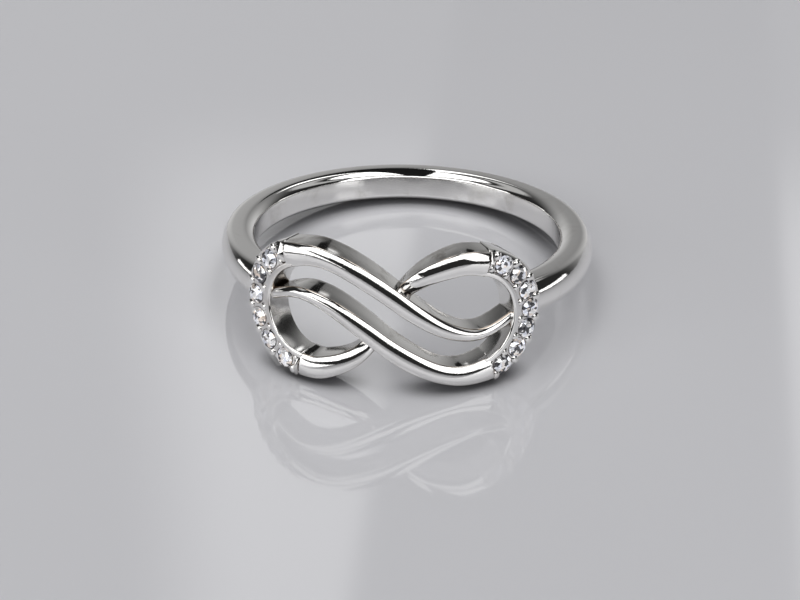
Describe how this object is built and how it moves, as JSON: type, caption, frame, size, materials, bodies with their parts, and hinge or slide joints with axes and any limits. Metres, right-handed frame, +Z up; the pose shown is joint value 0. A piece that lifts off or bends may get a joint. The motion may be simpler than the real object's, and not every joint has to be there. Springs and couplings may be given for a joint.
{
  "type": "infinity ring",
  "caption": "Slim polished finger ring whose front is an openwork infinity motif, with small round stones set along both outer ends of the motif.",
  "frame": {"origin": "middle of the ring's footprint on the surface that it lies on, at the foot of its box", "axes": "+Z up from that surface, -Y the way the infinity motif faces, X along the motif"},
  "size_m": [0.0204, 0.0213, 0.0079],
  "materials": {
    "metal": "mirror polish",
    "stone": "faceted and polished, clear"
  },
  "bodies": {
    "root": {"metal_ring": "metal", "left_stone_1": "stone", "left_stone_2": "stone", "left_stone_3": "stone", "left_stone_4": "stone", "left_stone_5": "stone", "left_stone_6": "stone", "right_stone_1": "stone", "right_stone_2": "stone", "right_stone_3": "stone", "right_stone_4": "stone", "right_stone_5": "stone", "right_stone_6": "stone", "right_stone_7": "stone"}
  },
  "joints": []
}
